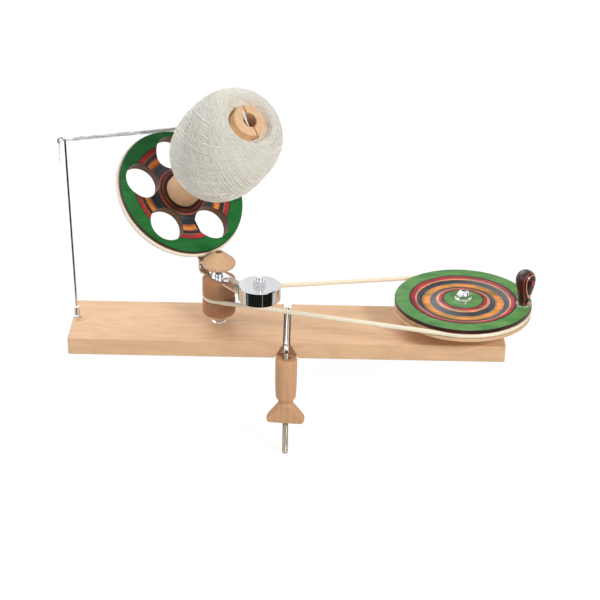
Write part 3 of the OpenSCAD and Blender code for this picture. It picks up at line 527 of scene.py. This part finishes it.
def metal(name, tint, rough, scratch=0.3, along=None, centre=(0, 0, 0)):
    """Bright metal with very fine wear marks; along gives a lathe's or a file's direction."""
    s = Shader(name, rough, metallic=1.0)
    if along is None:
        marks = s.noise(s.vec("SCALE", s.at, scale=1000.0), 2.2, 4.0, 0.6)
    else:
        g, a, b = s.axes(centre, along, along.orthogonal().normalized(),
                         along.cross(along.orthogonal().normalized()))
        marks = s.noise(s.join(s.math("DIVIDE", g, 0.12), s.math("DIVIDE", a, 8.0),
                               s.math("DIVIDE", b, 8.0)), 1.0, 2.0)
    worn = s.noise(s.vec("SCALE", s.at, scale=1000.0), 0.09, 3.0)
    colour = s.mix(1.0, srgb(*tint), s.shade(worn, 0.93, 1.04), "MULTIPLY")
    roughness = s.math("ADD", rough * (1 - scratch), s.math("MULTIPLY", marks, 2 * rough * scratch))
    return s.done(colour, roughness, s.bump(marks, 0.004))


def wool(name, tint, ply=1.3, depth=0.16, soak=0.35):
    """Spun wool: twisted plies along the strand, and a nap. soak is the share of light let in."""
    s = Shader(name, 0.85)
    s.bsdf.inputs["Sheen Weight"].default_value = 0.35
    s.bsdf.inputs["Sheen Roughness"].default_value = 0.5
    s.bsdf.inputs["Subsurface Weight"].default_value = soak
    s.bsdf.inputs["Subsurface Radius"].default_value = (1.0, 0.9, 0.75)
    s.bsdf.inputs["Subsurface Scale"].default_value = 0.002
    uv = s.tree.nodes.new("ShaderNodeUVMap")
    uv.uv_map = "along"
    parts = s.tree.nodes.new("ShaderNodeSeparateXYZ")
    s.put(parts.inputs[0], uv.outputs[0])
    twist = s.math("SINE", s.math("MULTIPLY", s.math("ADD", s.math("DIVIDE", parts.outputs[0], ply),
                                                     s.math("MULTIPLY", parts.outputs[1], 2.0)), 6.2832))
    plies = s.spread(twist, -1.0, 1.0)
    nap = s.noise(s.vec("SCALE", s.at, scale=1000.0), 2.6, 4.0, 0.7)
    tone = s.noise(s.vec("SCALE", s.at, scale=1000.0), 0.12, 2.0)
    # The grooves between the plies are drawn darker: painted shade in the creases
    colour = s.mix(1.0, srgb(*tint), s.shade(plies, 0.88, 1.03), "MULTIPLY")
    colour = s.mix(1.0, colour, s.shade(nap, 0.94, 1.05), "MULTIPLY")
    colour = s.mix(1.0, colour, s.shade(tone, 0.95, 1.03), "MULTIPLY")
    height = s.math("ADD", plies, s.math("MULTIPLY", nap, 0.6))
    return s.done(colour, None, s.bump(height, depth))


def rubber(name, tint):
    s = Shader(name, 0.42)
    s.bsdf.inputs["Subsurface Weight"].default_value = 0.2
    s.bsdf.inputs["Subsurface Radius"].default_value = (1.0, 0.8, 0.5)
    s.bsdf.inputs["Subsurface Scale"].default_value = 0.001
    grain = s.noise(s.vec("SCALE", s.at, scale=1000.0), 3.0, 4.0, 0.6)
    dust = s.noise(s.vec("SCALE", s.at, scale=1000.0), 0.15, 3.0)
    colour = s.mix(1.0, srgb(*tint), s.shade(dust, 0.9, 1.04), "MULTIPLY")
    return s.done(colour, s.math("ADD", 0.34, s.math("MULTIPLY", grain, 0.2)), s.bump(grain, 0.02))


board_wood = wood("beech_board", (40, 7, 8), X, (231, 190, 150), 0.5, 0.9, 12.0)
pulley_wood = wood("beech_pulley", SPINDLE + Vector((3, 5, 0)), Z, (188, 136, 98), 0.45, 1.1, 6.0)
cone_wood = wood("beech_cone", SPINDLE + Vector((2, 7, 0)), Z, (226, 184, 144), 0.45, 0.9, 5.0)
clamp_wood = wood("beech_clamp", (4, -41, 0), Z, (216, 168, 126), 0.45, 1.1, 5.0)
wheel_wood = wood("beech_wheel", WHEEL, X, (228, 190, 150), 0.5, 0.9, 11.0)
# Its window walls take a darker colour: partly laminate layers, partly painted shade
head_wood = wood("beech_head", HEAD_C, HEAD_Y, (230, 192, 152), 0.5, 0.9, 11.0,
                 (HEAD_N, 60.0, (132, 116, 102)))
core_wood = wood("beech_core", on_head(4, 6, 0), HEAD_N, (242, 198, 156), 0.45, 0.9, 7.0)
wheel_veneer = laminate("veneer_wheel", WHEEL, X, Y, Z, RINGS, math.radians(4))
head_veneer = laminate("veneer_head", HEAD_C, HEAD_X, HEAD_Y, HEAD_N, HEAD_RINGS, math.radians(70))
knob_veneer = knob_laminate("veneer_knob")
chrome = metal("chrome", (226, 226, 230), 0.09)
zinc = metal("zinc", (198, 200, 204), 0.26)
brushed = metal("brushed_steel", (206, 206, 208), 0.2, 0.4, Z, SPINDLE)
turned_chrome = metal("turned_chrome", (220, 220, 221), 0.07, 0.3, Z, SPINDLE)
plated = metal("plated", (244, 242, 236), 0.34)
thread_steel = metal("thread_steel", (178, 170, 156), 0.2)
dark_steel = metal("dark_steel", (104, 92, 82), 0.4)
brass = metal("brass", (206, 168, 96), 0.25)
belt_rubber = rubber("cream_rubber", (250, 238, 214))
ring_rubber = rubber("ring_rubber", (248, 240, 222))
ball_wool = wool("ball_wool", (255, 250, 235), 1.2, 0.12)
strand_wool = wool("strand_wool", (255, 252, 244), soak=0.6)
NODE_LOOKS = {
    board_wood: ["base_board"],
    pulley_wood: ["pulley"],
    cone_wood: ["friction_cone"],
    wheel_wood: ["wheel_back"],
    head_wood: ["head_back"],
    core_wood: ["winding_core"],
    wheel_veneer: ["wheel_face"],
    head_veneer: ["head_face"],
    chrome: ["clamp_rod", "guide_wire", "guide_ferrule", "arm_bracket", "axle_cap_nut",
             "cone_jam_nut", "arm_screws", "counterweight_nut", "spindle_washer",
             "spindle_nut", "spindle_spacer"],
    turned_chrome: ["counterweight"],
    dark_steel: ["spindle_bolt"],
    plated: ["axle_top_washer", "knob_washer"],
    brushed: ["spindle_sleeve", "axle_sleeve", "axle_spacer", "head_axle_spacer"],
    zinc: ["wheel_axle", "axle_washer", "axle_nut",
           "wheel_bearing", "knob_stud", "pulley_bearings", "counterweight_bolt", "head_axle",
           "head_axle_nut", "head_bearing"],
    brass: ["wing_insert"],
    ring_rubber: ["friction_ring"],
}


def dress(obj, material):
    if obj.material_slots:
        for place in obj.material_slots:
            place.material = material
    else:
        obj.data.materials.append(material)


def soften(obj, width):
    """Small rounded edges that catch the light."""
    bevel = obj.modifiers.new("soft_edges", "BEVEL")
    bevel.width = width * MM
    bevel.segments = 2
    bevel.limit_method = "ANGLE"
    bevel.angle_limit = math.radians(35)
    bevel.harden_normals = True
    bevel.use_clamp_overlap = True


for material, names in NODE_LOOKS.items():
    for node in names:
        dress(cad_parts[node], material)
for obj in (yarn_strand, tail_strand, lead_fluff, tail_fluff):
    dress(obj, strand_wool)


# Yarn ball: a soft core, then tilted loops that step round the core as the head turns
def barrel(l, r):
    return r * max(0.0, 1 - abs((l - BALL_AT) / BALL_HALF) ** BALL_SHAPE) ** (1 / BALL_SHAPE)


def core_at(l):
    return CORE_BASE_R + (CORE_TIP_R - CORE_BASE_R) * l / (CORE_L - 2)


STRAND_R = 0.65
DIMPLE_R, DIMPLE_DEEP = 25.5, 15.0


def dimpled(r, l):
    """The end near the core's tip sinks towards the core."""
    if l > BALL_AT and r < DIMPLE_R:
        l -= DIMPLE_DEEP * (DIMPLE_R - r) / (DIMPLE_R - CORE_TIP_R)
    return r, l


rng = random.Random(5)
LOOPS, PER_LOOP = 330, 32
LAYERS_DEEP = 2.2
winding = []
reach = lift = 0.0
for i in range(LOOPS * PER_LOOP + 1):
    if i % PER_LOOP == 0:
        next_reach = rng.choice((rng.uniform(0.9, 0.968), rng.uniform(0.72, 0.95)))
        next_lift = rng.uniform(-0.45, 0.3)
        old = (next_reach, next_lift) if i == 0 else (reach, lift)
        reach, lift = next_reach, next_lift
    s = (i % PER_LOOP) / PER_LOOP
    here = old[0] + (reach - old[0]) * s
    up = old[1] + (lift - old[1]) * s
    a = 2 * math.pi * i / PER_LOOP
    grown = -LAYERS_DEEP * (1 - i / (LOOPS * PER_LOOP))
    l = BALL_AT + BALL_HALF * here * math.sin(a)
    r = max(barrel(l, BALL_R - STRAND_R) + grown + up, core_at(l) + 1.2 + 0.5 * (up + 0.45))
    turn = a * (1 + HEAD_RATIO) + 0.02 * math.sin(a * 0.137)
    r, l = dimpled(r, l)
    winding.append(on_head(r * math.cos(turn), r * math.sin(turn), l))
ball_winding = tube("ball_winding", winding, STRAND_R, 6)

low_l, high_l = BALL_AT - BALL_HALF * 0.985, BALL_AT + BALL_HALF * 0.975
skin = []
SKIN_STEPS = 56
for i in range(SKIN_STEPS + 1):
    a = math.pi * (i / SKIN_STEPS - 0.5)
    l = (low_l + high_l) / 2 + (high_l - low_l) / 2 * math.sin(a)
    skin.append(dimpled(max(barrel(l, BALL_R - STRAND_R) - 1.7, core_at(l) + 0.8), l))
inner = [(core_at(l) + 0.4, l) for l in (skin[-1][1] - 1.5, low_l + 1)]
ball_core = lathe("ball_core", skin + inner, on_head, 72)

# Loose fibres that stand off the ball
hairs = []
for _ in range(1500):
    i = rng.randrange(len(winding) * 3 // 4, len(winding) - 2)
    p = winding[i]
    t = (winding[i + 1] - p).normalized()
    out = (p - on_head(0, 0, BALL_AT)).normalized()
    out = (out - t * out.dot(t)).normalized()
    side = t.cross(out)
    length, lift, sway = rng.uniform(3, 9), rng.uniform(0.3, 1.6), rng.uniform(-3, 3)
    hairs.append([p + t * (length * k / 5) + side * (sway * (k / 5) ** 2)
                  + out * (0.5 + lift * math.sin(math.pi * k / 5 * 0.85) - 0.02 * length * (k / 5) ** 2 * 5)
                  for k in range(6)])
ball_fluff = tubes("ball_fluff", hairs, 0.045, 3)

# The yarn's start: it comes up the slit, runs down one side of the core's hole and back into the
# slit, and a loop of it lies over the hole's edge
start_way = smooth_way([
    on_head(-CORE_TIP_R - 1.6, 0.6, CORE_L - 12), on_head(-CORE_TIP_R - 0.9, 0.2, CORE_L - 5),
    on_head(-CORE_TIP_R + 0.6, 0, CORE_L - 2.6), on_head(-8, 0, CORE_L - 3.0),
    on_head(-5.4, -1.6, CORE_L - 3.6), on_head(-2.6, -4.9, CORE_L - 3.8), on_head(2.6, -4.9, CORE_L - 3.8),
    on_head(5.4, -1.6, CORE_L - 3.4), on_head(8, 0, CORE_L - 2.9),
    on_head(CORE_TIP_R - 0.3, 0, CORE_L - 2.7)], 6)
doubled = [
    on_head(3.6, -3.0, CORE_L - 8), on_head(4.7, -3.7, CORE_L - 2.2), on_head(3.6, -4.9, CORE_L + 0.3),
    on_head(-1.5, -5.1, CORE_L + 0.7), on_head(-6.5, -5.0, CORE_L + 0.7), on_head(-8.6, -4.3, CORE_L + 0.7),
    on_head(-6.8, -3.6, CORE_L + 0.7), on_head(-2.6, -3.9, CORE_L + 0.5), on_head(0.6, -3.6, CORE_L - 1.6),
    on_head(1.6, -2.4, CORE_L - 8)]
yarn_start = tubes("yarn_start", [start_way, smooth_way(doubled, 6)], YARN_R, 10)
for obj, material in ((ball_winding, ball_wool), (ball_core, ball_wool), (ball_fluff, ball_wool),
                      (yarn_start, strand_wool)):
    dress(obj, material)
    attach(obj, "ball")
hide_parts("yarn_ball")
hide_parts("yarn_winding")
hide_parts("yarn_end")

# Drive belt: one loop round the pulley's and the wheel's grooves
BELT_R, WHEEL_BELT_R, WHEEL_BELT_Z = 2.2, 64.6, 40.6
PULLEY_BELT_R, PULLEY_BELT_Z = 13.9, 45.5
span = WHEEL.x - SPINDLE.x
lean = math.asin((WHEEL_BELT_R - PULLEY_BELT_R) / span)
half_wrap = math.pi / 2 + lean


def belt_arc(centre_x, r, z, start, stop, count):
    return [Vector((centre_x + r * math.cos(a), r * math.sin(a), z))
            for a in (start + (stop - start) * i / count for i in range(count + 1))]


round_pulley = belt_arc(SPINDLE.x, PULLEY_BELT_R, PULLEY_BELT_Z, half_wrap, 2 * math.pi - half_wrap, 24)
round_wheel = belt_arc(WHEEL.x, WHEEL_BELT_R, WHEEL_BELT_Z, -half_wrap, half_wrap, 80)
front = [round_pulley[-1].lerp(round_wheel[0], i / 30) for i in range(1, 30)]
back = [round_wheel[-1].lerp(round_pulley[0], i / 30) for i in range(1, 30)]
belt = tube("round_belt", round_pulley + front + round_wheel + back, BELT_R, 18, closed=True)
dress(belt, belt_rubber)
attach(belt, "base")
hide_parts("drive_belt")

# Clamp rod: a plain hook over the board, and a cut thread on its lower length
ROD_R, THREAD_R, THREAD_ROOT, THREAD_TOP = 2.65, 2.95, 2.42, 8.0
ROD_Z, ROD_BACK_Y, ROD_BEND, ROD_HOOK_END = 14.15, 37.5, 5.0, 4.15


def bend(y, z, start, stop):
    """A quarter bend of the rod round a centre at y, z."""
    return [Vector((0, y + ROD_BEND * math.cos(a), z + ROD_BEND * math.sin(a)))
            for a in (start + (stop - start) * i / 10 for i in range(11))]


hook = [Vector((0, ROD_Y, THREAD_TOP - 0.6))]
hook += bend(ROD_Y + ROD_BEND, ROD_Z - ROD_BEND, math.pi, math.pi / 2)
hook += bend(ROD_BACK_Y - ROD_BEND, ROD_Z - ROD_BEND, math.pi / 2, 0)
hook.append(Vector((0, ROD_BACK_Y, ROD_HOOK_END)))
rod_hook = tube("rod_hook", hook, ROD_R, 24)
rod_thread = thread("rod_thread", lambda x, y, z: Vector((x, ROD_Y + y, z)), -104, THREAD_TOP,
                    THREAD_R, THREAD_ROOT, 1.0)
for obj, material in ((rod_hook, chrome), (rod_thread, thread_steel)):
    dress(obj, material)
    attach(obj, "base")
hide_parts("clamp_rod")


# Turned jaw, nested in the board's recess, the sawn wing nut under it, and the crank's knob
def shaped(name, rows, place, steps=72):
    """Rings of radius(angle) at a height, joined in order and closed to the first."""
    points = []
    for l, radius in rows:
        for i in range(steps):
            a = 2 * math.pi * i / steps
            r = radius(a) if callable(radius) else radius
            points.append(place(r * math.cos(a), r * math.sin(a), l))
    faces = []
    for j in range(len(rows)):
        m = (j + 1) % len(rows)
        for i in range(steps):
            k = (i + 1) % steps
            faces.append((j * steps + i, j * steps + k, m * steps + k, m * steps + i))
    return piece(name, points, faces)


def sawn(radius, half_t):
    """A round section sawn flat in front and behind, with barely eased corners."""
    power = 24
    return lambda a: (radius ** -power + abs(math.sin(a) / half_t) ** power) ** (-1 / power)


def at_rod(x, y, l):
    return Vector((x, ROD_Y + y, l))


def at_rod_turned(x, y, l):
    return at_rod(*(Matrix.Rotation(math.radians(-5), 3, "Z") @ Vector((x, y, l))))


def at_knob(x, y, l):
    return KNOB + Vector((x, y, l + KNOB_RISE))


ROD_BORE, INSERT_BORE, INSERT_END, JOINT_Z = 3.35, 5.02, -61.4, -44.8
KNOB_RISE, KNOB_BORE, KNOB_BORE_L = 1.1, 3.08, 26
jaw_barrel = lathe("jaw_barrel", [
    (ROD_BORE, JOINT_Z), (ROD_BORE, 1.6), (ROD_BORE + 0.7, 2.3), (9.6, 2.3), (10.2, 2.1), (10.5, 1.5),
    (10.5, -12), (10.45, -24), (10.2, -33), (10.0, -37.6), (9.8, -39.4), (9.3, -41), (8.4, -42.2),
    (7.5, -42.8), (7.3, -43.2), (7.3, JOINT_Z + 0.4), (6.9, JOINT_Z)], at_rod)
# Depth below the joint, radius, and half the thickness between the sawn faces
wing_rows = [
    (0.0, 6.9, 7.8), (0.4, 7.3, 7.8), (2.0, 7.6, 7.9), (3.4, 8.0, 7.9), (4.2, 8.5, 7.7), (5.0, 9.2, 7.4),
    (5.8, 9.8, 7.1), (6.8, 10.5, 6.8), (8.0, 11.4, 6.6), (9.6, 12.5, 6.5), (11.6, 13.9, 6.4),
    (13.6, 15.4, 6.4), (15.6, 16.8, 6.4), (17.4, 18.1, 6.4), (18.4, 18.6, 6.4), (20.2, 18.6, 6.4),
    (21.3, 18.2, 6.3), (22.0, 17.5, 6.0), (22.4, 16.6, 5.5)]
wing_grip = shaped("wing_grip",
                   [(JOINT_Z - 0.2 - d, sawn(w, t)) for d, w, t in wing_rows]
                   + [(JOINT_Z - 22.6, ROD_BORE), (INSERT_END, ROD_BORE), (INSERT_END, INSERT_BORE),
                      (JOINT_Z - 0.2, INSERT_BORE)], at_rod_turned, 144)
wing_grip.data.set_sharp_from_angle(angle=math.radians(16))
DOME_Z, KNOB_R = 25.5, 9.5
knob_side = [
    (5.6, 0), (6.1, 0.5), (5.9, 2), (5.7, 4.4), (5.8, 6.4), (6.3, 8.8), (7.1, 12), (8.0, 15.6), (8.8, 19),
    (9.3, 22.2)]
dome = [(KNOB_R * math.cos(a), DOME_Z + KNOB_R * math.sin(a))
        for a in (math.pi / 2 * i / 12 for i in range(12))]
knob_grip = lathe("knob_grip", knob_side + dome + [
    (0.02, DOME_Z + KNOB_R), (0.02, KNOB_BORE_L + 0.4), (KNOB_BORE, KNOB_BORE_L), (KNOB_BORE, 0)],
    at_knob, 72)
for obj, body, node, slot, material in (
        (jaw_barrel, "jaw", "clamp_jaw", "turned_beech", clamp_wood),
        (wing_grip, "wing", "wing_nut", "turned_beech", clamp_wood),
        (knob_grip, "knob", "crank_knob", "dark_veneer", knob_veneer)):
    dress(obj, material)
    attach(obj, body)
    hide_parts(node)


# Floor, soft studio light and dark cards that only metal sees
def stage_plane(name, size, place):
    w, d = size
    mesh = bpy.data.meshes.new(name)
    mesh.from_pydata([(-w / 2, -d / 2, 0), (w / 2, -d / 2, 0), (w / 2, d / 2, 0), (-w / 2, d / 2, 0)],
                     [], [(0, 1, 2, 3)])
    obj = bpy.data.objects.new(name, mesh)
    scene.collection.objects.link(obj)
    obj.location = place
    return obj


floor = stage_plane("floor", (16, 16), (0, 0, FLOOR_Z * MM))
floor_mat = bpy.data.materials.new("floor")
floor_mat.use_nodes = True
nodes, links = floor_mat.node_tree.nodes, floor_mat.node_tree.links
floor_bsdf = nodes["Principled BSDF"]
floor_bsdf.inputs["Base Color"].default_value = (0.7, 0.7, 0.7, 1)
floor_bsdf.inputs["Roughness"].default_value = 0.9
glow = nodes.new("ShaderNodeEmission")
glow.inputs["Strength"].default_value = 1.15
rays = nodes.new("ShaderNodeLightPath")
half = nodes.new("ShaderNodeMath")
half.operation = "MULTIPLY"
half.inputs[1].default_value = 0.75
blend = nodes.new("ShaderNodeMixShader")
links.new(rays.outputs["Is Camera Ray"], half.inputs[0])
links.new(half.outputs[0], blend.inputs[0])
links.new(floor_bsdf.outputs[0], blend.inputs[1])
links.new(glow.outputs[0], blend.inputs[2])
links.new(blend.outputs[0], nodes["Material Output"].inputs["Surface"])
floor.data.materials.append(floor_mat)

SKY_LOW, SKY_HIGH = 0.03, 0.41
world = bpy.data.worlds.new("studio")
scene.world = world
world.use_nodes = True
nodes, links = world.node_tree.nodes, world.node_tree.links
plain = nodes["Background"]
plain.inputs["Color"].default_value = (0.97, 0.985, 1.0, 1)
toward = nodes.new("ShaderNodeTexCoord")
lean_to = nodes.new("ShaderNodeVectorMath")
lean_to.operation = "DOT_PRODUCT"
lean_to.inputs[1].default_value = (-0.5, -0.2, 0.8)
sky = nodes.new("ShaderNodeMapRange")
for socket, value in (("From Min", -0.5), ("From Max", 1.0), ("To Min", SKY_LOW), ("To Max", SKY_HIGH)):
    sky.inputs[socket].default_value = value
links.new(toward.outputs["Generated"], lean_to.inputs[0])
links.new(lean_to.outputs["Value"], sky.inputs["Value"])
links.new(sky.outputs["Result"], plain.inputs["Strength"])
seen = nodes.new("ShaderNodeBackground")
seen.inputs["Color"].default_value = (1, 1, 1, 1)
seen.inputs["Strength"].default_value = 1.0
rays = nodes.new("ShaderNodeLightPath")
either = nodes.new("ShaderNodeMath")
either.operation = "MAXIMUM"
blend = nodes.new("ShaderNodeMixShader")
links.new(rays.outputs["Is Camera Ray"], either.inputs[0])
links.new(rays.outputs["Is Glossy Ray"], either.inputs[1])
links.new(either.outputs[0], blend.inputs[0])
links.new(plain.outputs[0], blend.inputs[1])
links.new(seen.outputs[0], blend.inputs[2])
links.new(blend.outputs[0], nodes["World Output"].inputs["Surface"])


def area_light(name, place, target, size, watts, tint=(1, 1, 1)):
    data = bpy.data.lights.new(name, "AREA")
    data.shape = "SQUARE"
    data.size = size
    data.energy = watts
    data.color = tint
    obj = bpy.data.objects.new(name, data)
    scene.collection.objects.link(obj)
    look(obj, Vector(place), Vector(target), 0)


KEY_W, BACK_W, FILL_W = 25, 32, 11
area_light("key", (1.15, -1.34, 1.1), (0, 0, 0.1), 0.45, KEY_W, (1.0, 0.985, 0.96))
area_light("back", (-0.8, 1.3, 1.6), (0, 0, 0.05), 2.0, BACK_W)
area_light("fill", (-1.8, -0.9, 1.0), (0, 0, 0.1), 1.0, FILL_W)


def card_material(name, tint):
    mat = bpy.data.materials.new(name)
    mat.use_nodes = True
    bsdf = mat.node_tree.nodes["Principled BSDF"]
    bsdf.inputs["Base Color"].default_value = tint
    bsdf.inputs["Roughness"].default_value = 1.0
    bsdf.inputs["Specular IOR Level"].default_value = 0.0
    return mat


dark_card = card_material("dark_card", (0.012, 0.014, 0.011, 1))
streak_card = card_material("streak_card", (0.3, 0.3, 0.28, 1))
HANGING = [((-1.9, -0.9, 0.6), (0.5, 1.6)), ((1.9, -0.7, 0.6), (0.4, 1.6)), ((0.35, -2.6, 0.5), (0.6, 1.2)),
           ((-0.8, 2.2, 0.6), (0.7, 1.6)), ((0.5, 2.4, 0.95), (0.7, 0.9)), ((2.0, -0.1, 2.1), (1.4, 1.4))]
STREAKS = [((-0.40, -0.24), (0.5, 0.03), 28), ((0.14, -0.52), (0.5, 0.02), -66)]
cards = []
for place, size in HANGING:
    card = stage_plane(f"card_{len(cards)}", size, place)
    look(card, Vector(place), Vector((0, 0, 0.1)), 0)
    cards.append((card, dark_card))
cards.append((stage_plane("floor_card", (1.8, 1.6), (0, -0.95, FLOOR_Z * MM + 0.002)), dark_card))
for (x, y), size, turn in STREAKS:
    card = stage_plane(f"streak_{len(cards)}", size, (x, y, FLOOR_Z * MM + 0.004))
    card.rotation_euler.z = math.radians(turn)
    cards.append((card, streak_card))
for card, material in cards:
    card.data.materials.append(material)
    card.visible_camera = False
    card.visible_diffuse = False
    card.visible_shadow = False
    card.visible_transmission = False

scene.view_settings.view_transform = "Standard"

soften(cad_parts["base_board"], 0.5)
for node in ("arm_bracket", "spindle_nut", "cone_jam_nut", "counterweight_nut", "head_axle_nut",
             "axle_nut", "axle_cap_nut", "counterweight"):
    soften(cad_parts[node], 0.2)
